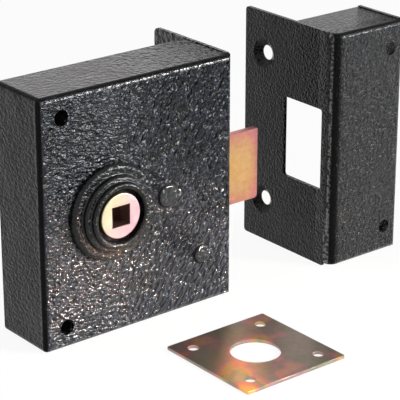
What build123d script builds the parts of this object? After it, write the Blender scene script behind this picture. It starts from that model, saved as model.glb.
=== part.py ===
from build123d import *
from math import acos, asin, atan2, cos, degrees, radians, sin
import os

os.makedirs("parts", exist_ok=True)

# Rim box lock with its box keep and escutcheon plate, in millimetres.
# The origin is on the follower's axis, in the mounting face at the back of the case. +X is the way the bolt
# is thrown, +Z is up, and the front face looks along -Y. A place called "out" is measured from the mounting
# face towards the front, so it lies at Y = -out.

# Lock case
case_width = 90.0
case_height = 101.0
case_depth = 28.0
case_sheet = 1.5
case_bend = 2.3
case_corner_bend = 2.0
backset = 58.5
leg_reach = 19.5
leg_corner = 2.5
edge_proud = 0.3
seam_gap = 0.25

# Fixing holes in the face, the sleeves behind them, and the holes in the leg
fixing_hole = 6.2
fixing_inset = 10.0
fixing_end = 9.0
sleeve_outer = 10.0
sleeve_spigot = 7.8
leg_hole = 5.2
leg_hole_sink = 7.2
leg_hole_end = 14.5
leg_hole_behind = 10.5

# Collar and bearings
collar_base = 38.4
collar_base_rise = 2.6
collar_step = 30.2
collar_step_rise = 4.9
collar_rim = 25.8
collar_rise = 7.0
collar_mouth = 21.4
collar_mouth_depth = 5.0
collar_spigot = 26.0
collar_base_round = 1.8
collar_step_round = 1.2
collar_rim_round = 0.9
collar_cove = 0.6
lock_ring_outer = 34.0
lock_ring_thick = 1.2
bush_flange = 25.0
bush_flange_thick = 1.0
rear_bush_flange = 25.0
rear_bush_flange_thick = 3.0
rear_bush_spigot = 20.0

# Follower
spindle_square = 8.2
journal = 17.8
journal_rise = 6.0
journal_edge = 0.4
follower_flange = 23.0
follower_flange_thick = 2.0
follower_neck = 13.6
hub = 22.0
rear_hub = 19.0
rear_journal = 16.0
arm_thick = 4.0
arm_tip = 10.0
arm_turn = 80.0
drive_pin_size = 5.0
drive_pin_stand = 0.8
washer_thick = 1.0
thrust_washer_outer = 22.0

# Bolt
bolt_travel = 21.0
bolt_rest_stand = 0.3
bolt_height = 30.0
bolt_centre_drop = 1.8
bolt_thick = 2.5
bolt_set_back = 9.5
bolt_shoulder = 3.5
bolt_low_corner = 1.4
bolt_high_corner = 0.6
bolt_edge = 0.25
notch_roof = 2.5

# Posts, guides, stops and spring inside the case
guide_post_x = 26.6
guide_post_head = 8.6
guide_post_shoulder = 11.0
guide_post_size = 7.0
spring_post_behind = 15.4
spring_post_drop = 28.6
spring_post_head = 7.2
spring_post_size = 7.0
post_head_rise = 1.0
post_head_round = 0.8
post_shank = 4.6
post_thread_depth = 9.5
guide_bush_spare = 0.4
guide_washer_outer = 17.0
circlip_outer = 12.0
circlip_opening = 4.0
circlip_thick = 1.0
circlip_groove = 0.4
screw_size = 4.0
screw_head = 7.4
screw_length = 9.0
screw_slot = 1.0
screw_slot_depth = 0.8
screw_slot_turn = 35.0
bracket_stand = 8.5
bracket_sheet = 1.5
bracket_depth = 14.0
bracket_over = 4.0
stop_size = 5.0
stop_circle = 15.5
stop_spigot = 3.0
spring_width = 6.0
spring_sheet = 0.6
spring_contact_behind = 19.1
spring_tail = 5.0
spring_tail_fall = 1.4
spring_bend = 4.0
spring_foot_behind = 23.1

# Box keep
keep_gap = 47.5
keep_forward = 6.5
keep_width = 38.0
keep_depth = 26.0
keep_height = 101.0
keep_sheet = 1.5
keep_big_bend = 5.0
keep_bend = 2.2
keep_flange = 29.0
keep_flange_corner = 1.5
keep_proud = 0.45
window_height = 34.8
window_start = 7.0
window_width = 23.0
window_corner = 1.2
face_hole = 5.5
face_hole_inset = 7.3
face_hole_end = 11.5
dimple_hole = 6.3
dimple_mouth = 12.6
dimple_depth = 2.2
dimple_wall = 0.9
dimple_lip = 0.6
dimple_from_front = 43.5
dimple_end = 18.0

# Escutcheon plate
plate_side = 47.5
plate_thick = 1.2
plate_corner = 0.7
plate_hole = 19.2
plate_screw_hole = 4.2
plate_screw_spacing = 33.2
plate_edge = 0.15
plate_x = 31.0
plate_forward = 47.5

# Clearances
press_gap = 0.02
running_gap = 0.06
side_gap = 0.3
bush_gap = 0.2
bolt_gap = 0.8
tail_gap = 0.5
arm_gap = 0.6
pin_play = 0.5
lid_gap = 0.15
overrun = 2.0

# Places that follow from the sizes
left = backset - case_width
middle_x = (left + backset) / 2
inner_right = backset - case_sheet
flange_half = case_height / 2 - edge_proud
inner_half = flange_half - case_sheet
inner_front = case_depth - case_sheet
fixing_x = left + fixing_inset
fixing_spacing = case_height - 2 * fixing_end
leg_hole_spacing = case_height - 2 * leg_hole_end
bolt_front = case_depth - bolt_set_back
bolt_back = bolt_front - bolt_thick
bolt_middle = bolt_front - bolt_thick / 2
bolt_low = -bolt_centre_drop - bolt_height / 2
bolt_high = -bolt_centre_drop + bolt_height / 2
bolt_tip = backset + bolt_travel + bolt_rest_stand
body_low = bolt_low - bolt_shoulder
body_high = bolt_high + bolt_shoulder
body_right = inner_right - side_gap
bolt_tail = -left - case_sheet - bolt_travel - tail_gap
slot_half = follower_neck / 2 + bush_gap
slot_end = guide_post_x + bolt_travel
neck_end = bolt_front + bolt_gap
arm_front = bolt_back - arm_gap
arm_back = arm_front - arm_thick
swing = radians(arm_turn / 2)
arm_reach = bolt_travel / 2 / sin(swing)
pin_x = arm_reach * sin(swing)
pin_z = -arm_reach * cos(swing)
spigot_end = inner_front - lock_ring_thick
bush_end = spigot_end - bush_flange_thick
rear_bush_end = case_sheet + rear_bush_flange_thick
thrust_face = rear_bush_end + washer_thick + 2 * bush_gap
guide_seat = bolt_front + guide_bush_spare
washer_seat = bolt_back - guide_bush_spare
circlip_seat = washer_seat - washer_thick
groove_size = guide_post_size - 2 * circlip_groove
spring_post_x = backset - spring_post_behind
spring_contact_x = spring_post_x - spring_contact_behind
spring_foot_x = spring_post_x - spring_foot_behind
guide_post_place = (guide_post_x, 0)
spring_post_place = (spring_post_x, -spring_post_drop)
fixing_places = [(fixing_x, fixing_spacing / 2), (fixing_x, -fixing_spacing / 2)]
arm_taper = asin((hub - arm_tip) / 2 / arm_reach)
stop_angle = swing + asin((hub / 2 + stop_size / 2 + side_gap) / stop_circle) - arm_taper
stop_places = [
    (stop_circle * sin(turn), -stop_circle * cos(turn)) for turn in (stop_angle, -stop_angle)
]
keep_left = backset + keep_gap
keep_right = keep_left + keep_width
keep_front = case_depth + keep_forward
keep_back = keep_front - keep_depth
keep_flange_half = keep_height / 2 - keep_proud
face_hole_spacing = keep_height - 2 * face_hole_end
dimple_spacing = keep_height - 2 * dimple_end
dimple_slope = degrees(atan2((dimple_mouth - dimple_hole) / 2, dimple_depth))
floor_z = -case_height / 2

# Turned pieces are drawn on this plane: its X is the radius and its Y is the place out
turning = Plane(origin=(0, 0, 0), x_dir=(1, 0, 0), z_dir=(0, 0, -1))


# Case shell: one sheet, its face folded back on all four sides, with the fore-end running on as a leg
with BuildPart() as case_shell:
    with BuildSketch(Plane.XZ):
        with Locations((middle_x, 0)):
            Rectangle(case_width, 2 * flange_half)
    extrude(amount=case_depth)
    fillet(case_shell.edges().filter_by(Axis.Y).sort_by(Axis.X)[:2], case_corner_bend)
    fillet(case_shell.faces().sort_by(Axis.Y)[0].edges(), case_bend)
    offset(amount=-case_sheet, openings=case_shell.faces().sort_by(Axis.Y)[-1])
    with BuildSketch(Plane.YZ.offset(inner_right)):
        with Locations(((leg_reach - case_depth + case_bend) / 2, 0)):
            Rectangle(case_depth - case_bend + leg_reach, case_height)
    extrude(amount=case_sheet)
    fillet(case_shell.edges().filter_by(Axis.X).sort_by(Axis.Y)[-2:], leg_corner)
    # Seams between the fore-end and the top and bottom flanges
    for seam_z in (inner_half, -inner_half - case_sheet - edge_proud):
        with BuildSketch(Plane.XY.offset(seam_z)):
            with Locations((inner_right - seam_gap / 2, -(case_depth - case_bend) / 2)):
                Rectangle(seam_gap, case_depth - case_bend)
        extrude(amount=case_sheet + edge_proud, mode=Mode.SUBTRACT)
    # Slot for the bolt
    with BuildSketch(Plane.YZ.offset(inner_right - overrun)):
        with Locations((-bolt_middle, -bolt_centre_drop)):
            Rectangle(bolt_thick + 2 * side_gap, bolt_height + 2 * side_gap)
    extrude(amount=case_sheet + 2 * overrun, mode=Mode.SUBTRACT)
    # Holes in the face
    with BuildSketch(Plane.XZ.offset(inner_front - overrun)):
        Circle(collar_spigot / 2 + press_gap)
        with Locations(fixing_places):
            Circle(fixing_hole / 2)
        with Locations(guide_post_place, spring_post_place):
            Circle(post_shank / 2 + press_gap)
    extrude(amount=case_sheet + 2 * overrun, mode=Mode.SUBTRACT)
    # Countersunk holes in the leg
    with Locations(Plane.YZ.offset(backset)):
        with GridLocations(0, leg_hole_spacing, 1, 2):
            with Locations((leg_hole_behind, 0)):
                CounterSinkHole(leg_hole / 2, leg_hole_sink / 2, case_sheet, 90)
case_shell.part.label = "case_shell"
export_step(case_shell.part, "parts/case_shell.step")


# Back plate: flat lid inside the flanges, held by two countersunk screws
with BuildPart() as back_plate:
    with BuildSketch(Plane.XZ):
        with Locations(((left + case_sheet + inner_right) / 2, 0)):
            Rectangle(inner_right - left - case_sheet - 2 * lid_gap, 2 * (inner_half - lid_gap))
        Circle(rear_bush_spigot / 2 + press_gap, mode=Mode.SUBTRACT)
        with Locations(fixing_places):
            Circle(sleeve_spigot / 2 + press_gap, mode=Mode.SUBTRACT)
        with Locations(stop_places):
            Circle(stop_spigot / 2 + press_gap, mode=Mode.SUBTRACT)
    extrude(amount=case_sheet)
    with BuildSketch(Plane.XZ):
        with Locations(guide_post_place, spring_post_place):
            Circle(screw_head / 2 + running_gap)
    extrude(amount=case_sheet, taper=45, mode=Mode.SUBTRACT)
back_plate.part.label = "back_plate"
export_step(back_plate.part, "parts/back_plate.step")


# Collar: turned in steps, its spigot goes through the face
with BuildPart() as collar:
    with BuildSketch(turning):
        with Locations((0, case_depth)):
            Rectangle(collar_base / 2, collar_base_rise, align=(Align.MIN, Align.MIN))
            Rectangle(collar_step / 2, collar_step_rise, align=(Align.MIN, Align.MIN))
            Rectangle(collar_rim / 2, collar_rise, align=(Align.MIN, Align.MIN))
        with Locations((0, spigot_end)):
            Rectangle(
                collar_spigot / 2, case_depth - spigot_end, align=(Align.MIN, Align.MIN)
            )
            Rectangle(
                collar_mouth / 2,
                collar_rise + case_depth - spigot_end,
                align=(Align.MIN, Align.MIN),
                mode=Mode.SUBTRACT,
            )
    revolve(axis=Axis.Y)
    rounds = (
        (collar_base, case_depth + collar_base_rise, collar_base_round),
        (collar_step, case_depth + collar_step_rise, collar_step_round),
        (collar_rim, case_depth + collar_rise, collar_rim_round),
        (collar_mouth, case_depth + collar_rise, collar_rim_round),
        (collar_step, case_depth + collar_base_rise, collar_cove),
        (collar_rim, case_depth + collar_step_rise, collar_cove),
    )
    for ring, place, size in rounds:
        circles = collar.edges().filter_by(GeomType.CIRCLE)
        at_height = circles.filter_by_position(Axis.Y, -place - press_gap, -place + press_gap)
        fillet([edge for edge in at_height if abs(2 * edge.radius - ring) < press_gap], size)
collar.part.label = "collar"
export_step(collar.part, "parts/collar.step")


# Collar lock ring: holds the collar from inside the face
with BuildPart() as collar_lock_ring:
    with BuildSketch(Plane.XZ.offset(spigot_end)):
        Circle(lock_ring_outer / 2)
        Circle(collar_spigot / 2 + press_gap, mode=Mode.SUBTRACT)
    extrude(amount=lock_ring_thick)
collar_lock_ring.part.label = "collar_lock_ring"
export_step(collar_lock_ring.part, "parts/collar_lock_ring.step")


# Front bush: bearing pressed into the collar, with a flange on the spigot's end
with BuildPart() as front_bush:
    with BuildSketch(Plane.XZ.offset(bush_end)):
        Circle(bush_flange / 2)
    extrude(amount=bush_flange_thick)
    with BuildSketch(Plane.XZ.offset(spigot_end)):
        Circle(collar_mouth / 2 - press_gap)
    extrude(amount=case_depth + collar_rise - collar_mouth_depth - spigot_end)
    with BuildSketch(Plane.XZ.offset(bush_end)):
        Circle(journal / 2 + running_gap)
    extrude(amount=case_depth, mode=Mode.SUBTRACT)
front_bush.part.label = "front_bush"
export_step(front_bush.part, "parts/front_bush.step")


# Rear bush: bearing in the back plate, flush with the mounting face
with BuildPart() as rear_bush:
    with BuildSketch(Plane.XZ):
        Circle(rear_bush_spigot / 2)
    extrude(amount=case_sheet)
    with BuildSketch(Plane.XZ.offset(case_sheet)):
        Circle(rear_bush_flange / 2)
    extrude(amount=rear_bush_flange_thick)
    with BuildSketch(Plane.XZ):
        Circle(rear_journal / 2 + running_gap)
    extrude(amount=case_depth, mode=Mode.SUBTRACT)
rear_bush.part.label = "rear_bush"
export_step(rear_bush.part, "parts/rear_bush.step")


# Guide post: a painted head on the face, a shoulder, and a seat for the bush, washer and circlip
with BuildPart() as guide_post:
    with BuildSketch(Plane.XZ.offset(inner_front)):
        with Locations(guide_post_place):
            Circle(post_shank / 2)
    extrude(amount=case_sheet)
    with BuildSketch(Plane.XZ.offset(case_depth)):
        with Locations(guide_post_place):
            Circle(guide_post_head / 2)
    extrude(amount=post_head_rise)
    fillet(guide_post.faces().sort_by(Axis.Y)[0].edges(), post_head_round)
    with BuildSketch(Plane.XZ.offset(guide_seat)):
        with Locations(guide_post_place):
            Circle(guide_post_shoulder / 2)
    extrude(amount=inner_front - guide_seat)
    with BuildSketch(Plane.XZ.offset(case_sheet)):
        with Locations(guide_post_place):
            Circle(guide_post_size / 2)
    extrude(amount=guide_seat - case_sheet)
    with BuildSketch(Plane.XZ.offset(circlip_seat - circlip_thick)):
        with Locations(guide_post_place):
            Circle(guide_post_size / 2)
            Circle(groove_size / 2, mode=Mode.SUBTRACT)
    extrude(amount=circlip_thick, mode=Mode.SUBTRACT)
    with BuildSketch(Plane.XZ.offset(case_sheet)):
        with Locations(guide_post_place):
            Circle(screw_size / 2)
    extrude(amount=post_thread_depth, mode=Mode.SUBTRACT)
guide_post.part.label = "guide_post"
export_step(guide_post.part, "parts/guide_post.step")


# Guide bush: runs in the bolt's slot
with BuildPart() as guide_bush:
    with BuildSketch(Plane.XZ.offset(washer_seat)):
        with Locations(guide_post_place):
            Circle(follower_neck / 2)
            Circle(guide_post_size / 2 + press_gap, mode=Mode.SUBTRACT)
    extrude(amount=guide_seat - washer_seat)
guide_bush.part.label = "guide_bush"
export_step(guide_bush.part, "parts/guide_bush.step")


# Guide washer: keeps the bolt on the bush
with BuildPart() as guide_washer:
    with BuildSketch(Plane.XZ.offset(circlip_seat)):
        with Locations(guide_post_place):
            Circle(guide_washer_outer / 2)
            Circle(guide_post_size / 2 + press_gap, mode=Mode.SUBTRACT)
    extrude(amount=washer_thick)
guide_washer.part.label = "guide_washer"
export_step(guide_washer.part, "parts/guide_washer.step")


# Guide circlip: an open ring in the post's groove
with BuildPart() as guide_circlip:
    with BuildSketch(Plane.XZ.offset(circlip_seat - circlip_thick + press_gap)):
        with Locations(guide_post_place):
            Circle(circlip_outer / 2)
            Circle(groove_size / 2 + press_gap, mode=Mode.SUBTRACT)
        with Locations((guide_post_x + circlip_outer / 2, 0)):
            Rectangle(circlip_outer, circlip_opening, mode=Mode.SUBTRACT)
    extrude(amount=circlip_thick - 2 * press_gap)
guide_circlip.part.label = "guide_circlip"
export_step(guide_circlip.part, "parts/guide_circlip.step")


# Spring post: a painted head on the face and a plain post that carries the spring
with BuildPart() as spring_post:
    with BuildSketch(Plane.XZ.offset(inner_front)):
        with Locations(spring_post_place):
            Circle(post_shank / 2)
    extrude(amount=case_sheet)
    with BuildSketch(Plane.XZ.offset(case_depth)):
        with Locations(spring_post_place):
            Circle(spring_post_head / 2)
    extrude(amount=post_head_rise)
    fillet(spring_post.faces().sort_by(Axis.Y)[0].edges(), post_head_round)
    with BuildSketch(Plane.XZ.offset(case_sheet)):
        with Locations(spring_post_place):
            Circle(spring_post_size / 2)
    extrude(amount=inner_front - case_sheet)
    with BuildSketch(Plane.XZ.offset(case_sheet)):
        with Locations(spring_post_place):
            Circle(screw_size / 2)
    extrude(amount=post_thread_depth, mode=Mode.SUBTRACT)
spring_post.part.label = "spring_post"
export_step(spring_post.part, "parts/spring_post.step")


def tangent_place(centre, radius, outer, side):
    """The point where a line from outer touches the circle, on the given side (1 or -1) of the way to outer."""
    across = Vector(*outer) - Vector(*centre)
    turn = acos(radius / across.length)
    unit = across.normalized()
    x = unit.X * cos(turn) - side * unit.Y * sin(turn)
    z = unit.Y * cos(turn) + side * unit.X * sin(turn)
    return (centre[0] + radius * x, centre[1] + radius * z)


# Friction spring: a leaf folded round the lower post, one leg on the case and one on the bolt's lower edge
spring_line = spring_post_size / 2 + side_gap + spring_sheet / 2
spring_foot = (spring_foot_x, -inner_half + side_gap + spring_sheet / 2)
spring_contact = (spring_contact_x, body_low - side_gap - spring_sheet / 2)
spring_end = (spring_contact_x - spring_tail, spring_contact[1] - spring_tail_fall)
foot_touch = tangent_place(spring_post_place, spring_line, spring_foot, 1)
contact_touch = tangent_place(spring_post_place, spring_line, spring_contact, -1)
with BuildPart() as friction_spring:
    with BuildLine(Plane.XZ.offset(bolt_middle)) as spring_path:
        Line(spring_foot, foot_touch)
        RadiusArc(foot_touch, contact_touch, -spring_line)
        FilletPolyline(contact_touch, spring_contact, spring_end, radius=spring_bend)
    with BuildSketch(
        Plane(origin=spring_path.line @ 0, x_dir=(0, 1, 0), z_dir=spring_path.line % 0)
    ):
        Rectangle(spring_width, spring_sheet)
    sweep(path=spring_path.line)
friction_spring.part.label = "friction_spring"
export_step(friction_spring.part, "parts/friction_spring.step")


# Bolt guide: a folded bracket welded behind the fore-end, with a slot for the bolt's body
with BuildPart() as bolt_guide:
    with BuildSketch(Plane.XZ.offset(bolt_middle - bracket_depth / 2)):
        with Locations((inner_right - bracket_stand, (body_low + body_high) / 2)):
            Rectangle(
                bracket_stand,
                body_high - body_low + 2 * bracket_over,
                align=(Align.MIN, Align.CENTER),
            )
        with Locations((inner_right - bracket_stand + bracket_sheet, (body_low + body_high) / 2)):
            Rectangle(
                bracket_stand,
                body_high - body_low + 2 * (bracket_over - bracket_sheet),
                align=(Align.MIN, Align.CENTER),
                mode=Mode.SUBTRACT,
            )
    extrude(amount=bracket_depth)
    with BuildSketch(Plane.YZ.offset(inner_right - bracket_stand - overrun)):
        with Locations((-bolt_middle, (body_low + body_high) / 2)):
            Rectangle(bolt_thick + 2 * side_gap, body_high - body_low + 2 * side_gap)
    extrude(amount=bracket_sheet + 2 * overrun, mode=Mode.SUBTRACT)
bolt_guide.part.label = "bolt_guide"
export_step(bolt_guide.part, "parts/bolt_guide.step")


# Follower stops: two studs on the back plate, one for each end of the arm's turn
with BuildPart() as follower_stops:
    with BuildSketch(Plane.XZ):
        with Locations(stop_places):
            Circle(stop_spigot / 2)
    extrude(amount=case_sheet)
    with BuildSketch(Plane.XZ.offset(case_sheet)):
        with Locations(stop_places):
            Circle(stop_size / 2)
    extrude(amount=arm_front - case_sheet - side_gap)
follower_stops.part.label = "follower_stops"
export_step(follower_stops.part, "parts/follower_stops.step")


# Fixing sleeves: tubes from the face to the back plate, so that the fixing screws can't crush the case
with BuildPart() as fixing_sleeves:
    with BuildSketch(Plane.XZ):
        with Locations(fixing_places):
            Circle(sleeve_spigot / 2)
    extrude(amount=case_sheet)
    with BuildSketch(Plane.XZ.offset(case_sheet)):
        with Locations(fixing_places):
            Circle(sleeve_outer / 2)
    extrude(amount=inner_front - case_sheet)
    with BuildSketch(Plane.XZ):
        with Locations(fixing_places):
            Circle(fixing_hole / 2)
    extrude(amount=case_depth, mode=Mode.SUBTRACT)
fixing_sleeves.part.label = "fixing_sleeves"
export_step(fixing_sleeves.part, "parts/fixing_sleeves.step")


# Back plate screws: slotted countersunk screws into the two posts
with BuildPart() as back_plate_screws:
    for place in (guide_post_place, spring_post_place):
        with BuildSketch(Plane.XZ.offset(screw_length)):
            with Locations(place):
                Circle(screw_size / 2 - running_gap)
        extrude(amount=-screw_length)
        with BuildSketch(Plane.XZ):
            with Locations(place):
                Circle(screw_head / 2)
        extrude(amount=case_sheet, taper=45)
        with BuildSketch(Plane.XZ):
            with Locations(place):
                Rectangle(screw_head, screw_slot, rotation=screw_slot_turn)
        extrude(amount=screw_slot_depth, mode=Mode.SUBTRACT)
back_plate_screws.part.label = "back_plate_screws"
export_step(back_plate_screws.part, "parts/back_plate_screws.step")


# Follower: its front journal shows in the collar, its arm lies behind the bolt
with BuildPart() as follower:
    stack = (
        (bush_gap, thrust_face, rear_journal),
        (thrust_face, arm_back, rear_hub),
        (arm_back, arm_front, hub),
        (arm_front, neck_end, follower_neck),
        (neck_end, case_depth + journal_rise, journal),
        (
            bush_end - side_gap - follower_flange_thick,
            bush_end - side_gap,
            follower_flange,
        ),
    )
    for low, high, size in stack:
        with BuildSketch(Plane.XZ.offset(low)):
            Circle(size / 2)
        extrude(amount=high - low)
    fillet(follower.faces().sort_by(Axis.Y)[0].edges(), journal_edge)
    with BuildSketch(Plane.XZ.offset(arm_back)):
        with Locations((pin_x, pin_z)):
            Circle(arm_tip / 2)
        Circle(hub / 2)
        make_hull()
    extrude(amount=arm_thick)
    with BuildSketch(Plane.XZ.offset(arm_back)):
        with Locations((pin_x, pin_z)):
            Circle(drive_pin_size / 2 + press_gap)
    extrude(amount=arm_thick, mode=Mode.SUBTRACT)
    with BuildSketch(Plane.XZ):
        Rectangle(spindle_square, spindle_square)
    extrude(amount=case_depth + collar_rise, mode=Mode.SUBTRACT)
follower.part.label = "follower"
export_step(follower.part, "parts/follower.step")


# Drive pin: pressed into the arm, it stands through the bolt's notch
with BuildPart() as drive_pin:
    with BuildSketch(Plane.XZ.offset(arm_back)):
        with Locations((pin_x, pin_z)):
            Circle(drive_pin_size / 2)
    extrude(amount=bolt_front + drive_pin_stand - arm_back)
drive_pin.part.label = "drive_pin"
export_step(drive_pin.part, "parts/drive_pin.step")


# Thrust washer: between the follower's shoulder and the rear bush
with BuildPart() as thrust_washer:
    with BuildSketch(Plane.XZ.offset(rear_bush_end + bush_gap)):
        Circle(thrust_washer_outer / 2)
        Circle(rear_journal / 2 + press_gap, mode=Mode.SUBTRACT)
    extrude(amount=washer_thick)
thrust_washer.part.label = "thrust_washer"
export_step(thrust_washer.part, "parts/thrust_washer.step")


# Bolt: a flat plate, forked round the follower's neck, with a notch for the drive pin
with BuildPart() as bolt:
    with BuildSketch(Plane.XZ.offset(bolt_back)):
        with Locations((-bolt_tail, body_low)):
            Rectangle(
                body_right + bolt_tail, body_high - body_low, align=(Align.MIN, Align.MIN)
            )
        with Locations((0, bolt_low)):
            Rectangle(bolt_tip, bolt_height, align=(Align.MIN, Align.MIN))
        with Locations((-bolt_tail, 0)):
            Rectangle(
                slot_end + bolt_tail,
                2 * slot_half,
                align=(Align.MIN, Align.CENTER),
                mode=Mode.SUBTRACT,
            )
        with Locations((slot_end, 0)):
            Circle(slot_half, mode=Mode.SUBTRACT)
        with Locations((pin_x, body_low)):
            Rectangle(
                drive_pin_size + 2 * pin_play,
                -slot_half - notch_roof - body_low,
                align=(Align.CENTER, Align.MIN),
                mode=Mode.SUBTRACT,
            )
    extrude(amount=bolt_thick)
    tip_corners = bolt.edges().filter_by(Axis.Y).group_by(Axis.X)[-1]
    fillet(tip_corners.sort_by(Axis.Z)[0], bolt_low_corner)
    tip_corners = bolt.edges().filter_by(Axis.Y).group_by(Axis.X)[-1]
    fillet(tip_corners.sort_by(Axis.Z)[-1], bolt_high_corner)
    chamfer(bolt.faces().sort_by(Axis.Y)[0].edges(), bolt_edge)
bolt.part.label = "bolt"
export_step(bolt.part, "parts/bolt.step")


# Keep shell: one sheet, its strike plate running on behind as a flange
with BuildPart() as keep_shell:
    with BuildSketch(Plane.XZ.offset(keep_back)):
        with Locations(((keep_left + keep_right) / 2, 0)):
            Rectangle(keep_width, 2 * keep_flange_half)
    extrude(amount=keep_depth)
    front_uprights = keep_shell.faces().sort_by(Axis.Y)[0].edges().filter_by(Axis.Z)
    fillet(front_uprights.sort_by(Axis.X)[0], keep_big_bend)
    fillet(keep_shell.faces().sort_by(Axis.Y)[0].edges(), keep_bend)
    offset(amount=-keep_sheet, openings=keep_shell.faces().sort_by(Axis.Y)[-1])
    with BuildSketch(Plane.YZ.offset(keep_left)):
        with Locations((-keep_front + keep_big_bend, 0)):
            Rectangle(
                keep_depth - keep_big_bend + keep_flange,
                keep_height,
                align=(Align.MIN, Align.CENTER),
            )
    extrude(amount=keep_sheet)
    fillet(keep_shell.edges().filter_by(Axis.X).sort_by(Axis.Y)[-2:], keep_flange_corner)
    with BuildSketch(Plane.YZ.offset(keep_right - keep_sheet)):
        with Locations((-keep_front + keep_bend, 0)):
            Rectangle(keep_depth - keep_bend, keep_height, align=(Align.MIN, Align.CENTER))
    extrude(amount=keep_sheet)
    # Seams between the two side walls and the top and bottom flanges
    for seam_z in (keep_flange_half - keep_sheet, -keep_height / 2):
        with BuildSketch(Plane.XY.offset(seam_z)):
            with Locations((keep_left + keep_sheet, keep_back)):
                Rectangle(seam_gap, keep_depth - keep_big_bend, align=(Align.MIN, Align.MAX))
            with Locations((keep_right - keep_sheet, keep_back)):
                Rectangle(seam_gap, keep_depth - keep_bend, align=(Align.MAX, Align.MAX))
        extrude(amount=keep_sheet + keep_proud, mode=Mode.SUBTRACT)
    # Window for the bolt in the strike plate
    with BuildSketch(Plane.YZ.offset(keep_left - overrun)):
        with Locations((-keep_front + window_start + window_width / 2, 0)):
            RectangleRounded(window_width, window_height, window_corner)
    extrude(amount=keep_sheet + 2 * overrun, mode=Mode.SUBTRACT)
    # Plain holes in the face
    with BuildSketch(Plane.XZ.offset(keep_front - keep_sheet - overrun)):
        with Locations((keep_right - face_hole_inset, 0)):
            with GridLocations(0, face_hole_spacing, 1, 2):
                Circle(face_hole / 2)
    extrude(amount=keep_sheet + 2 * overrun, mode=Mode.SUBTRACT)
    # Dimpled holes in the flange, pressed in from the strike side
    with BuildSketch(Plane.YZ.offset(keep_left)):
        with Locations((dimple_from_front - keep_front, 0)):
            with GridLocations(0, dimple_spacing, 1, 2):
                Circle(dimple_mouth / 2 + dimple_wall / cos(radians(dimple_slope)))
    extrude(amount=dimple_depth + dimple_lip, taper=dimple_slope)
    with BuildSketch(Plane.YZ.offset(keep_left)):
        with Locations((dimple_from_front - keep_front, 0)):
            with GridLocations(0, dimple_spacing, 1, 2):
                Circle(dimple_mouth / 2)
    extrude(amount=dimple_depth, taper=dimple_slope, mode=Mode.SUBTRACT)
    with BuildSketch(Plane.YZ.offset(keep_left)):
        with Locations((dimple_from_front - keep_front, 0)):
            with GridLocations(0, dimple_spacing, 1, 2):
                Circle(dimple_hole / 2)
    extrude(amount=dimple_depth + overrun, mode=Mode.SUBTRACT)
keep_shell.part.label = "keep_shell"
export_step(keep_shell.part, "parts/keep_shell.step")


# Escutcheon plate: lies flat on the same floor, in front of the case
with BuildPart() as escutcheon_plate:
    with BuildSketch(Plane.XY.offset(floor_z)):
        with Locations((plate_x, -case_depth - plate_forward)):
            RectangleRounded(plate_side, plate_side, plate_corner)
            Circle(plate_hole / 2, mode=Mode.SUBTRACT)
            with GridLocations(plate_screw_spacing, plate_screw_spacing, 2, 2):
                Circle(plate_screw_hole / 2, mode=Mode.SUBTRACT)
    extrude(amount=plate_thick)
    chamfer(escutcheon_plate.faces().sort_by(Axis.Z)[-1].edges(), plate_edge)
escutcheon_plate.part.label = "escutcheon_plate"
export_step(escutcheon_plate.part, "parts/escutcheon_plate.step")
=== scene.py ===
from math import cos, pi, radians, sin

import bpy
import numpy as np
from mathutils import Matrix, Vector


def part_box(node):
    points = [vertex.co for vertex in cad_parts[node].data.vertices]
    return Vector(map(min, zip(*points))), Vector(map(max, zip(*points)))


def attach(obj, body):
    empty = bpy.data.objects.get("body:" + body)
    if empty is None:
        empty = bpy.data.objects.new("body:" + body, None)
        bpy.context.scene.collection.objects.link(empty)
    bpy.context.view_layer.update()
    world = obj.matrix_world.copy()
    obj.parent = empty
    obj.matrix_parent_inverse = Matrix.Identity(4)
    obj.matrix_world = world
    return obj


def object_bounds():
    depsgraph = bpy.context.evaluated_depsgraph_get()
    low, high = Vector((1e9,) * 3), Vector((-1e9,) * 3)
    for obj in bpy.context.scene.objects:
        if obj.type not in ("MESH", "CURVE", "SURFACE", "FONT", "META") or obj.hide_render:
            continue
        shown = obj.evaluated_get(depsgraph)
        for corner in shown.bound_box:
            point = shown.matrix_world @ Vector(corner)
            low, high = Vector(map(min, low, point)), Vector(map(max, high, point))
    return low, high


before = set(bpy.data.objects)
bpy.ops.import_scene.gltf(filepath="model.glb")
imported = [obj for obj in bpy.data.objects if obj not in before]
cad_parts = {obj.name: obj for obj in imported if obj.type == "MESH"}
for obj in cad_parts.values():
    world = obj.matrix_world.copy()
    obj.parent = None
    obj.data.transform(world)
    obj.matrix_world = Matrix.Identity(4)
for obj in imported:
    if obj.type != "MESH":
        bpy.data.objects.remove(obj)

cad_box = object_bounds()


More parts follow.
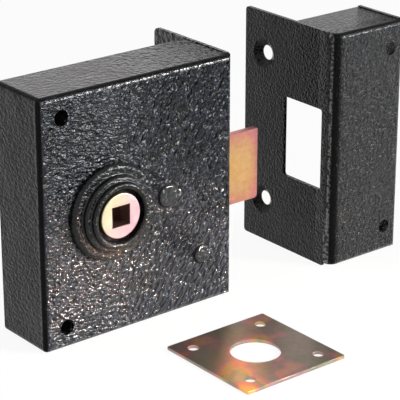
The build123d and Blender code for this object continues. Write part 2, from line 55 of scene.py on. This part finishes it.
# Case shell
# One sheet of mild steel with its four sides folded back and the fore-end running on as a leg. It is
# sprayed with black hammered paint, which draws up into glossy rounded cells as it dries.
class Sock:
    """One output of a shader node. Sums and products of it add Math nodes to the same tree. Without an
    output it stands for the tree alone, to which a first node is added."""

    def __init__(self, tree, socket=None):
        self.tree = tree
        self.socket = socket

    def node(self, kind, settings, inputs, output=0):
        """Adds a node. Its settings are set first, then its sockets, each from a Sock or a plain value."""
        made = self.tree.nodes.new(kind)
        for name, value in settings.items():
            if name == "stops":
                while len(made.color_ramp.elements) < len(value):
                    made.color_ramp.elements.new(1.0)
                for element, (place, colour) in zip(made.color_ramp.elements, value):
                    element.position = place
                    element.color = (*colour, 1.0)
            else:
                setattr(made, name, value)
        for name, value in inputs.items():
            if isinstance(value, Sock):
                self.tree.links.new(value.socket, made.inputs[name])
            else:
                made.inputs[name].default_value = value
        return Sock(self.tree, made.outputs[output])

    def also(self, output):
        """Another output of the same node."""
        return Sock(self.tree, self.socket.node.outputs[output])

    def maths(self, operation, *values):
        return self.node("ShaderNodeMath", {"operation": operation}, dict(enumerate(values)))

    def __add__(self, other):
        return self.maths("ADD", self, other)

    def __radd__(self, other):
        return self.maths("ADD", other, self)

    def __sub__(self, other):
        return self.maths("SUBTRACT", self, other)

    def __rsub__(self, other):
        return self.maths("SUBTRACT", other, self)

    def __mul__(self, other):
        return self.maths("MULTIPLY", self, other)

    def __rmul__(self, other):
        return self.maths("MULTIPLY", other, self)

    def __abs__(self):
        return self.maths("ABSOLUTE", self)

    def larger(self, other):
        """The larger of this value and another."""
        return self.maths("MAXIMUM", self, other)

    def rising(self, low, high):
        """0 where this value is low, 1 where it is high, and smooth in between."""
        settings = {"interpolation_type": "SMOOTHSTEP", "clamp": True}
        return self.node("ShaderNodeMapRange", settings, {"Value": self, 1: low, 2: high})

    def falling(self, low, high):
        """1 where this value is low, 0 where it is high, and smooth in between."""
        return 1.0 - self.rising(low, high)

    def band(self, start, full, fading, end):
        """0 up to the start, 1 from full to fading, and 0 again past the end."""
        return self.rising(start, full) * self.falling(fading, end)

    def between(self, low, high):
        """A colour that goes from low to high as this value goes from 0 to 1."""
        sockets = {0: self, 6: low, 7: high}
        return self.node("ShaderNodeMix", {"data_type": "RGBA"}, sockets, output=2)

    def ramp(self, stops):
        """A colour read from a ramp at this value."""
        return self.node("ShaderNodeValToRGB", {"stops": stops}, {0: self})

    def part(self, axis):
        """The X, Y or Z of a vector."""
        return self.node("ShaderNodeSeparateXYZ", {}, {0: self}, output=axis)

    def moved(self, by):
        """A vector plus another vector."""
        return self.node("ShaderNodeVectorMath", {"operation": "ADD"}, {0: self, 1: by})

    def scaled(self, by):
        """A vector times a number."""
        return self.node("ShaderNodeVectorMath", {"operation": "SCALE"}, {0: self, "Scale": by})

    def stretched(self, by):
        """A vector times a vector."""
        return self.node("ShaderNodeVectorMath", {"operation": "MULTIPLY"}, {0: self, 1: by})

    def leaned(self, degrees, stretch):
        """A place turned about Y by an angle and drawn out along the turned X, for a grain that leans."""
        sockets = {0: self, 2: (0.0, radians(degrees), 0.0), 3: (stretch, 1.0, 1.0 / stretch)}
        return self.node("ShaderNodeMapping", {"vector_type": "TEXTURE"}, sockets)

    def noise(self, per_mm, detail=2.0, output=0):
        """Noise at this place, with so many features to the millimetre."""
        sockets = {"Vector": self, "Scale": per_mm, "Detail": detail}
        return self.node("ShaderNodeTexNoise", {}, sockets, output=output)


def new_finish(name, roughness, metallic=0.0, gloss=0.5):
    """A new material with one Principled shader, its fixed values set on the shader's own sockets.
    It gives the material, the shader and the Object coordinates in millimetres."""
    material = bpy.data.materials.new(name)
    material.use_nodes = True
    shader = material.node_tree.nodes["Principled BSDF"]
    shader.inputs["Roughness"].default_value = roughness
    shader.inputs["Metallic"].default_value = metallic
    shader.inputs["Specular IOR Level"].default_value = gloss
    metres = Sock(material.node_tree).node("ShaderNodeTexCoord", {}, {}, output="Object")
    return material, shader, metres.scaled(1000.0)


def feed(node, name, value):
    """Links a worked-out value, colour or shader to one of a node's sockets."""
    value.tree.links.new(value.socket, node.inputs[name])


def relief(shader, height, depth_mm):
    """Turns a height from 0 to 1 into a bump of that many millimetres."""
    sockets = {"Height": height, "Distance": depth_mm / 1000.0}
    feed(shader, "Normal", height.node("ShaderNodeBump", {}, sockets))


def dress(material, *nodes):
    """Gives the material to the CAD nodes of those names."""
    for node in nodes:
        for piece_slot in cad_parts[node].material_slots:
            piece_slot.material = material


def box_mm(node):
    """The low and the high corner of a CAD node's box, in millimetres."""
    return [[1000.0 * reach for reach in corner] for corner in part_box(node)]


def from_sides(place, node):
    """How far a place lies behind the front, from the nearer end and in from the left side of a node."""
    low, high = box_mm(node)
    behind = place.part(1) - low[1]
    ending = 0.5 * (high[2] - low[2]) - abs(place.part(2))
    inward = place.part(0) - low[0]
    return behind, ending, inward


def bend_shade_band(from_one, from_other, radius_mm):
    """1 on the part of a bend that has turned from the first side by 25 degrees and more, and 0 beside it.
    There a dull film paints shade.
    """
    near_one = from_one.falling(0.45 * radius_mm, 0.65 * radius_mm)
    return near_one * from_other.falling(0.75 * radius_mm, radius_mm)


def bend_bead(ending, behind, radius_mm):
    """1 on the first 25 degrees of the bend between the front and an end, where the wet paint gathers."""
    across = ending.band(0.5 * radius_mm, 0.62 * radius_mm, 0.9 * radius_mm, 1.05 * radius_mm)
    return across * behind.falling(0.15 * radius_mm, 0.25 * radius_mm)


def hammered(place, cell_mm, lean):
    """Height of hammered paint, with the places first pushed about by noise. Worm-like swells come from
    two noises, one drawn out along X at the left and one drawn out along a lean at the right; rounded
    cells are added, as 1 less the square of the distance to the nearest cell centre."""
    push_reach, left_lean, drawn_out = 1.2 * cell_mm, 8.0, 1.5
    left_x, right_x = -15.0, 35.0
    right_swing, right_drop = 2.4, 0.70
    swell_height, cell_height = 1.8, 0.25
    push = place.noise(0.55 / cell_mm, output=1).moved((-0.5, -0.5, -0.5)).scaled(push_reach)
    pushed = place.moved(push)
    left = pushed.leaned(left_lean, drawn_out).noise(0.9 / cell_mm, 1.0)
    right = pushed.leaned(lean, drawn_out).noise(0.64 / cell_mm, 1.0)
    rightness = place.part(0).rising(left_x, right_x)
    swells = left + rightness * (right_swing * right - right_drop - left)
    sockets = {"Vector": pushed, "Scale": 0.9 / cell_mm, "Smoothness": 0.3}
    distance = place.node("ShaderNodeTexVoronoi", {"feature": "SMOOTH_F1"}, sockets)
    return swell_height * swells + cell_height * (1.0 - distance * distance)


def paint_shade_where(mask, shader, dark):
    """Paints shade where the mask is 1: a dull, nearly black film of the same paint shows there instead of
    the glossy one.
    """
    shade_share, dull, shade_gloss = 0.9, 0.4, 0.04
    sockets = {"Base Color": dark, "Roughness": dull, "Specular IOR Level": shade_gloss}
    film = mask.node("ShaderNodeBsdfPrincipled", {}, sockets)
    thick = Sock(mask.tree, shader.outputs[0])
    both = film.node("ShaderNodeMixShader", {}, {0: shade_share * mask, 1: thick, 2: film})
    feed(mask.tree.nodes["Material Output"], "Surface", both)


face_y = round(box_mm("case_shell")[0][1], 3)
paint_lean = -52.0
hollow_height, crown_height = 0.85, 1.3


def hammered_finish(name, cell_mm, depth_mm, dark, light, gloss, bends):
    """Black hammered paint: glossy cells over a slow waviness of the sheet, a little greyer on the crowns
    and lower on the sides than on the front; the greyer crowns are partly painted highlight. bends gives
    two masks: where a dull film paints shade, and where the paint lies in a broken glossy bead."""
    wave_height, side_share, bead_dull = 1.2, 0.45, 0.12
    material, shader, place = new_finish(name, 0.2, gloss=gloss)
    shader.inputs["Coat Roughness"].default_value = bead_dull
    cells = hammered(place, cell_mm, paint_lean)
    waves = place.noise(0.05, 1.0)
    shade_mask, bead = bends(place)
    # The crowns are painted lighter than the hollows, partly as painted highlight.
    feed(shader, "Base Color", cells.rising(hollow_height, crown_height).between(dark, light))
    feed(shader, "Roughness", 0.04 + 0.10 * place.noise(0.4, 2.0))
    feed(shader, "Coat Weight", bead * (0.06 + 0.8 * place.noise(0.9, 1.0).rising(0.45, 0.56)))
    on_front = (place.part(1) - face_y).falling(0.8, 3.0)
    relief(shader, cells * (side_share + (1.0 - side_share) * on_front) + wave_height * waves, depth_mm)
    # A dull film paints shade on the bends and the left side.
    paint_shade_where(shade_mask, shader, dark)
    return material


def case_bends(place):
    """A dull film paints shade on every bend, and a little on the left side. A bead lies along the upper and
    the lower bend.
    """
    bend_radius, left_shade_share, left_shade_depth = 2.3, 0.42, 1.2
    behind, ending, inward = from_sides(place, "case_shell")
    film = bend_shade_band(ending, behind, bend_radius)
    film = film.larger(bend_shade_band(inward, behind, bend_radius))
    film = film.larger(bend_shade_band(ending, inward, bend_radius))
    # Painted shade over the left side too.
    film = film.larger(left_shade_share * inward.falling(0.0, left_shade_depth))
    return film, bend_bead(ending, behind, bend_radius)


# The lighter of the two colours goes on the crowns, partly as painted highlight.
case_dark, case_crown_highlight = (0.001, 0.001, 0.0015, 1.0), (0.006, 0.0068, 0.012, 1.0)
case_paint = hammered_finish("case_paint", 1.45, 0.90, case_dark, case_crown_highlight, 0.34, case_bends)
dress(case_paint, "case_shell")


# Collar
# A turned steel collar in three steps, sprayed with the same paint. On its narrow rounds the paint lies
# lower and glossier than on the case, and breaks the bright arcs of the steps.
collar_paint, collar_shader, collar_place = new_finish("collar_paint", 0.13, gloss=0.27)
collar_cells = hammered(collar_place, 1.0, 0.0)
collar_dark, collar_crown_highlight = (0.001, 0.001, 0.001, 1.0), (0.004, 0.004, 0.004, 1.0)
# The collar's crowns are painted a little lighter, partly as painted highlight.
collar_highlight_on_crowns = collar_cells.rising(hollow_height, crown_height)
feed(collar_shader, "Base Color", collar_highlight_on_crowns.between(collar_dark, collar_crown_highlight))
feed(collar_shader, "Roughness", 0.02 + 0.05 * collar_place.noise(0.7))
relief(collar_shader, collar_cells, 0.20)
dress(collar_paint, "collar")


# Post heads
# The two steel posts end in low heads on the face. The paint lies smoother on them and fills the corner
# round each head. A dull film there paints shade, so each is a soft bump with a dark ring.
def turned(name, centre_x, centre_z, radii, outs, body, material, steps=96):
    """A surface turned about the line through (centre_x, centre_z) along Y: at angle a and profile point
    (r, out) it lies at x = centre_x + r cos a, z = centre_z + r sin a, y = -out. All in millimetres.
    One more point at the first profile point's height closes the middle."""
    angle = np.linspace(0.0, 2.0 * pi, steps, endpoint=False)
    r = np.repeat(np.asarray(radii, float)[:, None], steps, axis=1)
    out = np.repeat(np.asarray(outs, float)[:, None], steps, axis=1)
    x = centre_x + r * np.cos(angle)[None, :]
    z = centre_z + r * np.sin(angle)[None, :]
    points = np.stack([x, -out, z], axis=-1).reshape(-1, 3) / 1000.0
    rows = len(radii)
    row, column = np.meshgrid(np.arange(rows - 1), np.arange(steps), indexing="ij")
    beside = (column + 1) % steps
    corners = [row * steps + column, (row + 1) * steps + column, (row + 1) * steps + beside]
    corners.append(row * steps + beside)
    quads = np.stack(corners, axis=-1).reshape(-1, 4)
    middle_point = np.array([[centre_x, -outs[0], centre_z]]) / 1000.0
    first = np.arange(steps)
    fan = np.stack([np.full(steps, rows * steps), first, (first + 1) % steps], axis=-1)
    mesh = bpy.data.meshes.new(name)
    mesh.from_pydata(np.concatenate([points, middle_point]).tolist(), [], quads.tolist() + fan.tolist())
    mesh.polygons.foreach_set("use_smooth", np.ones(len(quads) + steps, bool))
    mesh.materials.append(material)
    piece = bpy.data.objects.new(name, mesh)
    bpy.context.collection.objects.link(piece)
    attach(piece, body)


def painted_head(name, node, head_radius):
    """A film of even thickness over a post's head. From the middle out its profile is a slight crown, a
    quarter round about the head's own edge, and a hollow quarter that runs out on the face."""
    film, edge_round, hollow, tuck = 0.12, 0.8, 0.5, 0.1
    first_ring, crown_rise, foot_rise = 0.2, 0.06, 0.03
    low, high = box_mm(node)
    rise = face_y - low[1]
    flat = head_radius - edge_round
    centre = np.linspace(first_ring, flat, 11)
    quarter = np.linspace(0.0, pi / 2, 14)
    edge_r = flat + (edge_round + film) * np.sin(quarter)
    edge_out = rise - edge_round + (edge_round + film) * np.cos(quarter)
    foot = edge_out[-1] + foot_rise
    hollow_r = edge_r[-1] + hollow * (1.0 - np.cos(quarter))
    hollow_out = foot * (1.0 - np.sin(quarter))
    radii = np.concatenate([centre, edge_r[1:], hollow_r[1:], hollow_r[-1:] + tuck])
    crown = rise + film + crown_rise * (1.0 - (centre / flat) ** 2)
    outs = np.concatenate([crown, edge_out[1:], hollow_out[1:], [-tuck]]) - face_y
    turned(name, (low[0] + high[0]) / 2, (low[2] + high[2]) / 2, radii, outs, "lock_case", head_paint)


head_paint, head_shader, head_place = new_finish("head_paint", 0.09, gloss=0.55)
head_cells = hammered(head_place, 1.1, paint_lean)
# The heads' crowns are painted a little lighter, partly as painted highlight.
head_highlight_on_crowns = head_cells.rising(hollow_height, crown_height)
feed(head_shader, "Base Color", head_highlight_on_crowns.between(collar_dark, collar_crown_highlight))
relief(head_shader, head_cells, 0.16)
# Painted shade: a dull film in the corner round each head gives the dark ring.
ring_shade_low, ring_shade_high = 0.45, 0.75
head_ring_shade = head_place.part(1).rising(face_y - ring_shade_high, face_y - ring_shade_low)
paint_shade_where(head_ring_shade, head_shader, collar_dark)
painted_head("upper_head_paint", "guide_post", 4.3)
painted_head("lower_head_paint", "spring_post", 3.6)


# Box keep
# Folded from the same sheet as the case and painted in the same way. The paint is thinner here, so
# its cells are smaller and shallower.
def keep_bends(place):
    """A dull film paints shade on the big bend's front half only and on the small bends; the big bend carries
    a strong bead beside that.
    """
    big_bend, small_bend, bead_share = 5.0, 2.2, 3.0
    behind, ending, inward = from_sides(place, "keep_shell")
    big_bend_shade = inward.band(0.16 * big_bend, 0.28 * big_bend, 0.55 * big_bend, 0.85 * big_bend)
    big_bend_shade = big_bend_shade * behind.falling(0.5 * big_bend, 0.7 * big_bend)
    film = big_bend_shade.larger(bend_shade_band(ending, behind, small_bend))
    edge = behind.band(0.35 * big_bend, 0.45 * big_bend, 0.8 * big_bend, 0.95 * big_bend)
    edge = edge * inward.falling(0.18 * big_bend, 0.28 * big_bend)
    return film, bead_share * edge + bend_bead(ending, behind, small_bend)


# The lighter of the two colours goes on the crowns, partly as painted highlight.
keep_dark, keep_crown_highlight = (0.002, 0.002, 0.002, 1.0), (0.011, 0.0095, 0.009, 1.0)
keep_paint = hammered_finish("keep_paint", 0.68, 0.30, keep_dark, keep_crown_highlight, 0.18, keep_bends)
dress(keep_paint, "keep_shell")


# Bearings
# The front bush is sintered iron, dull with oil; the rear one is the same. The sleeves behind the two fixing
# holes are cut from tube. All are coloured nearly black: on the bushes partly the dark oiled iron and partly
# painted shade for the ring in the collar's mouth, on the sleeves painted shade, so the holes look black.
bush_iron, bush_shader, bush_place = new_finish("bush_iron", 0.45, metallic=0.3, gloss=0.15)
bush_shade_dark, bush_shade_light = (0.004, 0.0035, 0.003, 1.0), (0.016, 0.014, 0.012, 1.0)
feed(bush_shader, "Base Color", bush_place.noise(2.5, 3.0).between(bush_shade_dark, bush_shade_light))
relief(bush_shader, bush_place.noise(6.0, 2.0), 0.02)
dress(bush_iron, "front_bush", "rear_bush", "fixing_sleeves")


# Zinc-plated pieces
# Mild steel, electroplated with zinc and dipped in a chromate passivation. The film's thickness varies,
# so the colour drifts between straw, olive, pink and green.
def plated_finish(name, tint, stops, grain, roughness, drift=0.035, shade_in_hole=None):
    """A plated metal: the film's thickness is tint plus slow noise, and picks the colour from the stops.
    grain stretches the fine rolling or turning marks; they give the roughness and a very low relief.
    hole gives a mask of painted shade: where it is 1 the colour goes to dark brown."""
    slow_swing, quick_swing = 0.55, 0.18
    bloom_share, bloom, hole_shade_brown = 0.07, (0.78, 0.76, 0.70, 1.0), (0.24, 0.14, 0.10, 1.0)
    marks_swing, marks_mm = 0.16, 0.012
    material, shader, place = new_finish(name, roughness, metallic=1.0)
    film = tint(place) + slow_swing * (place.noise(drift, 3.0) - 0.5)
    film = film + quick_swing * (place.noise(0.16, 2.0) - 0.5)
    cloud = place.noise(0.5, 4.0).rising(0.35, 0.75)
    colour = (bloom_share * cloud).between(film.ramp(stops), bloom)
    # Painted shade inside the hole, where the mask is 1.
    if shade_in_hole:
        colour = shade_in_hole(place).between(colour, hole_shade_brown)
    feed(shader, "Base Color", colour)
    marks = place.stretched(grain).noise(1.0, 3.0)
    feed(shader, "Roughness", (roughness - marks_swing / 2) + marks_swing * marks)
    relief(shader, marks, marks_mm)
    return material


bolt_stops = [
    (0.0, (0.39, 0.24, 0.08)),
    (0.30, (0.40, 0.24, 0.10)),
    (0.55, (0.40, 0.19, 0.10)),
    (0.75, (0.40, 0.15, 0.13)),
    (1.0, (0.39, 0.15, 0.15)),
]


def bolt_tint(place):
    """Gold along the bolt's middle, pink towards its upper and lower edges and its end."""
    middle_z, half_height, end_reach = -1.8, 15.0, 6.0
    away = abs(place.part(2) - middle_z) * (1.0 / half_height)
    end_x = box_mm("bolt")[1][0]
    return 0.10 + 0.62 * (away * away) + 0.45 * place.part(0).rising(end_x - end_reach, end_x)


bolt_zinc = plated_finish("bolt_zinc", bolt_tint, bolt_stops, (0.15, 3.0, 6.0), 0.30)
dress(bolt_zinc, "bolt")

plate_stops = [
    (0.0, (0.28, 0.26, 0.19)),
    (0.18, (0.34, 0.25, 0.22)),
    (0.34, (0.54, 0.26, 0.24)),
    (0.46, (0.54, 0.35, 0.15)),
    (0.58, (0.26, 0.29, 0.20)),
    (0.74, (0.38, 0.25, 0.20)),
    (0.86, (0.59, 0.25, 0.20)),
    (1.0, (0.90, 0.48, 0.15)),
]


def plate_tint(place):
    """Thin film near olive all over, thickest at the corner that hung lowest in the bath."""
    corner_x, corner_y, corner_reach = 7.25, -99.25, 17.0
    away = place.moved((-corner_x, -corner_y, 0.0)).stretched((1.0, 1.0, 0.0))
    length = away.node("ShaderNodeVectorMath", {"operation": "LENGTH"}, {0: away}, output=1)
    clouds = place.noise(0.075, 2.0).rising(0.35, 0.75)
    return 0.04 + 0.45 * clouds + 0.8 * length.falling(1.0, corner_reach)


plate_zinc = plated_finish("plate_zinc", plate_tint, plate_stops, (6.0, 0.2, 3.0), 0.34, drift=0.11)
dress(plate_zinc, "escutcheon_plate")

follower_stops = [
    (0.0, (0.38, 0.41, 0.24)),
    (0.35, (0.46, 0.39, 0.29)),
    (0.6, (0.50, 0.35, 0.35)),
    (1.0, (0.50, 0.32, 0.38)),
]


def follower_tint(place):
    """Yellow green at the upper left of the face, pale pink over the rest."""
    face_radius = 8.9
    return 0.62 + 0.6 * ((place.part(0) - place.part(2)) * (0.5 / face_radius))


def spindle_hole_shade(place):
    """Painted shade in the square hole: 1 inside it, and less towards its mouth."""
    half_width, edge, mouth_share = 4.13, (0.05, 0.12), 0.4
    off_axis = abs(place.part(0)).larger(abs(place.part(2)))
    inside = off_axis.falling(half_width + edge[0], half_width + edge[1])
    deep = place.part(1).rising(face_y - 0.6, face_y + 0.4)
    return inside * (mouth_share + (1.0 - mouth_share) * deep)


follower_zinc = plated_finish(
    "follower_zinc", follower_tint, follower_stops, (2.0, 2.0, 2.0), 0.34, shade_in_hole=spindle_hole_shade
)
dress(follower_zinc, "follower")

cover_stops = [
    (0.0, (0.52, 0.50, 0.40)),
    (0.5, (0.60, 0.56, 0.46)),
    (1.0, (0.62, 0.52, 0.46)),
]


def cover_tint(place):
    """An even film with only slow drifts."""
    return 0.5


cover_zinc = plated_finish("cover_zinc", cover_tint, cover_stops, (0.3, 3.0, 5.0), 0.38, drift=0.02)
dress(cover_zinc, "back_plate", "back_plate_screws")


# Inner steel pieces
# Turned or pressed from plain mild steel and lightly oiled, with fine marks from the tool.
inner_steel, steel_shader, steel_place = new_finish("inner_steel", 0.35, metallic=1.0)
steel_marks = steel_place.noise(1.8, 3.0)
feed(steel_shader, "Base Color", steel_marks.between((0.38, 0.37, 0.36, 1.0), (0.56, 0.55, 0.53, 1.0)))
feed(steel_shader, "Roughness", 0.26 + 0.18 * steel_marks)
dress(
    inner_steel, "collar_lock_ring", "guide_post", "spring_post", "guide_washer", "bolt_guide",
    "follower_stops", "drive_pin",
)


# Inner brass pieces
# The bush that runs in the bolt's slot and the washer behind the follower, turned from brass.
inner_brass, brass_shader, brass_place = new_finish("inner_brass", 0.3, metallic=1.0)
brass_marks = brass_place.noise(2.2, 3.0)
feed(brass_shader, "Base Color", brass_marks.between((0.60, 0.44, 0.18, 1.0), (0.78, 0.60, 0.30, 1.0)))
feed(brass_shader, "Roughness", 0.22 + 0.16 * brass_marks)
dress(inner_brass, "guide_bush", "thrust_washer")


# Spring pieces
# The leaf spring and the circlip, stamped from spring steel, hardened and blued. The blue goes in
# clouds, as the heat did.
spring_blue, blue_shader, blue_place = new_finish("spring_blue", 0.28, metallic=1.0)
blue_cloud = blue_place.noise(0.35, 3.0)
feed(blue_shader, "Base Color", blue_cloud.between((0.10, 0.12, 0.20, 1.0), (0.22, 0.22, 0.28, 1.0)))
feed(blue_shader, "Roughness", 0.2 + 0.15 * blue_place.noise(1.5))
dress(spring_blue, "friction_spring", "guide_circlip")


# Floor
# A plain pale sheet under the lock. It is nearly white to the camera and in reflections, and keeps
# the shadow.
def white_to_camera(lit, white):
    """Shows the lit shader to light rays and the white one to camera, glossy and transmission rays."""
    camera_ray = lit.node("ShaderNodeLightPath", {}, {}, output="Is Camera Ray")
    seen = (camera_ray + camera_ray.also("Is Glossy Ray")).larger(camera_ray.also("Is Transmission Ray"))
    return lit.node("ShaderNodeMixShader", {}, {0: seen, 1: lit, 2: white})


floor_reach, floor_drop, white_share = 6.0, 0.00002, 0.92
floor_z = float(cad_box[0][2]) - floor_drop
bpy.ops.mesh.primitive_plane_add(size=floor_reach, location=(0.0, 0.0, floor_z))
floor = bpy.context.object
floor.name = "floor"
floor_paint = bpy.data.materials.new("floor_paint")
floor_paint.use_nodes = True
floor_shader = floor_paint.node_tree.nodes["Principled BSDF"]
floor_shader.inputs["Base Color"].default_value = (0.85, 0.85, 0.85, 1.0)
floor_shader.inputs["Roughness"].default_value = 0.9
floor_lit = Sock(floor_paint.node_tree, floor_shader.outputs[0])
floor_white = floor_lit.node("ShaderNodeEmission", {}, {})
floor_seen = floor_lit.node("ShaderNodeMixShader", {}, {0: white_share, 1: floor_lit, 2: floor_white})
feed(floor_paint.node_tree.nodes["Material Output"], "Surface", white_to_camera(floor_lit, floor_seen))
floor.data.materials.append(floor_paint)


# Light
# A pale room and six softboxes: a low wide one at the right front that the face mirrors, one above it for
# the plate, one at the left for the collar, a small one overhead for the bends, a narrow warm one for the
# glow low on the face, and one behind for the top and the back.
world = bpy.data.worlds.new("room")
bpy.context.scene.world = world
world.use_nodes = True
world_tree = world.node_tree
room = world_tree.nodes["Background"]
room.inputs["Color"].default_value = (1.0, 1.0, 1.0, 1.0)
room.inputs["Strength"].default_value = 0.30
room_lit = Sock(world_tree, room.outputs[0])
room_white = room_lit.node("ShaderNodeBackground", {}, {"Color": (1.0, 1.0, 1.0, 1.0), "Strength": 1.0})
feed(world_tree.nodes["World Output"], "Surface", white_to_camera(room_lit, room_white))


def softbox(name, aim, direction, width, height, radiance, tint=(1.0, 1.0, 1.0), spread=180.0):
    """An area light 0.9 m away from its aim along a direction, facing it. Its power is pi times its area
    times the radiance that it shows; a spread under 180 degrees stands for a grid in front of it."""
    lamp = bpy.data.lights.new(name, "AREA")
    lamp.shape = "RECTANGLE"
    lamp.size = width
    lamp.size_y = height
    lamp.energy = pi * width * height * radiance
    lamp.color = tint
    lamp.spread = radians(spread)
    holder = bpy.data.objects.new(name, lamp)
    way = Vector(direction).normalized()
    holder.location = Vector(aim) + 0.9 * way
    holder.rotation_mode = "QUATERNION"
    holder.rotation_quaternion = way.to_track_quat("Z", "Y")
    bpy.context.collection.objects.link(holder)


middle = (0.04, -0.03, 0.0)
plate_middle = (0.031, -0.075, -0.049)
glow_middle = (0.006, -0.028, -0.026)
softbox("front_softbox", middle, (0.583, -0.725, 0.12), 0.90, 0.22, 20.0, (0.85, 0.93, 1.0))
softbox("plate_softbox", plate_middle, (0.583, -0.725, 0.42), 0.20, 0.12, 2.4, (1.0, 0.92, 0.80), 13.0)
softbox("left_softbox", middle, (-0.80, -0.10, 0.35), 0.24, 0.24, 1.6, (1.0, 0.92, 0.88))
softbox("over_softbox", middle, (-0.22, 0.16, 0.95), 0.12, 0.12, 30.0)
softbox("glow_softbox", glow_middle, (0.583, -0.725, 0.04), 0.12, 0.05, 2.8, (1.0, 0.70, 0.54), 4.0)
softbox("back_softbox", middle, (0.583, 0.725, 0.80), 0.60, 0.30, 1.2, (1.0, 0.80, 0.84))


# Camera
# Placed by a fit to the photograph's corners: it looks down a little at the set from the left front.
turn = radians(38.756)
dip = radians(21.565)
photo_pixels, focal_pixels = 400.0, 1843.5
stand_off = 0.6981
side_step = -0.02254
rise_step = -0.00161
aim_point = Vector((0.0135, -0.028, -0.0005))
forward = Vector((sin(turn) * cos(dip), cos(turn) * cos(dip), -sin(dip)))
rightward = Vector((cos(turn), -sin(turn), 0.0))
upward = rightward.cross(forward)
camera_data = bpy.data.cameras.new("camera")
camera_data.sensor_width = 36.0
camera_data.lens = focal_pixels / photo_pixels * camera_data.sensor_width
camera_data.clip_start = 0.01
camera_data.clip_end = 50.0
camera = bpy.data.objects.new("camera", camera_data)
camera.location = aim_point - side_step * rightward - rise_step * upward - stand_off * forward
camera.rotation_mode = "QUATERNION"
camera.rotation_quaternion = forward.to_track_quat("-Z", "Y")
bpy.context.collection.objects.link(camera)
bpy.context.scene.camera = camera
bpy.context.scene.view_settings.view_transform = "Standard"
